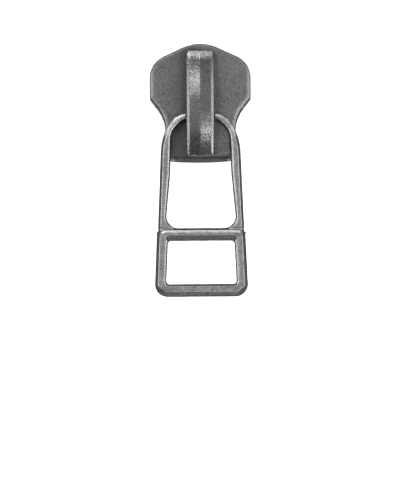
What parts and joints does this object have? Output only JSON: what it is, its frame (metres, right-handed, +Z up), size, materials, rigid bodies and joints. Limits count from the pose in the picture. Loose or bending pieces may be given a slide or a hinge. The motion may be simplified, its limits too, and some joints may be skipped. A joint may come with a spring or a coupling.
{
  "type": "zipper slider with pull tab",
  "caption": "Automatic-lock zipper slider with a crown over its lock pawl and a one-piece pull tab: a long open loop that ends in a rectangular ring.",
  "frame": {"origin": "middle of the lower blade's flat underside: on the plane of symmetry, halfway between the front and the rear edge on the centre line", "axes": "+Z up from the lower blade to the crown; +Y towards the front, where the two mouths open; +X across the slider. At rest the pull tab lies flat towards -Y"},
  "size_m": [0.0112, 0.0281, 0.0073],
  "materials": {
    "antique_nickel_body": "die-cast zinc, antique nickel plate, dark fine-grained patina with worn bright edges",
    "antique_nickel_bright": "die-cast zinc, antique nickel plate, tumbled satin with bright edges",
    "pawl_steel": "stamped stainless steel",
    "spring_steel": "rolled spring strip, satin"
  },
  "bodies": {
    "slider": {"slider_body": "antique_nickel_body", "crown_cover": "antique_nickel_bright", "leaf_spring": "spring_steel"},
    "pawl": {"lock_pawl": "pawl_steel"},
    "pull": {"pull_tab": "antique_nickel_bright"}
  },
  "joints": [
    {"name": "pawl_lift", "type": "hinge", "parent": "slider", "child": "pawl", "pos_m": [0, 0.00333, 0.00585], "axis": [-1, 0, 0], "range_deg": [0, 6], "stiffness_Nm_per_rad": 0.0002, "springref_deg": -11.46, "deforming": ["leaf_spring"]},
    {"name": "pull_tilt", "type": "hinge", "parent": "pawl", "child": "pull", "pos_m": [0, -0.00167, 0.00526], "axis": [-1, 0, 0], "range_deg": [0, 175]}
  ]
}
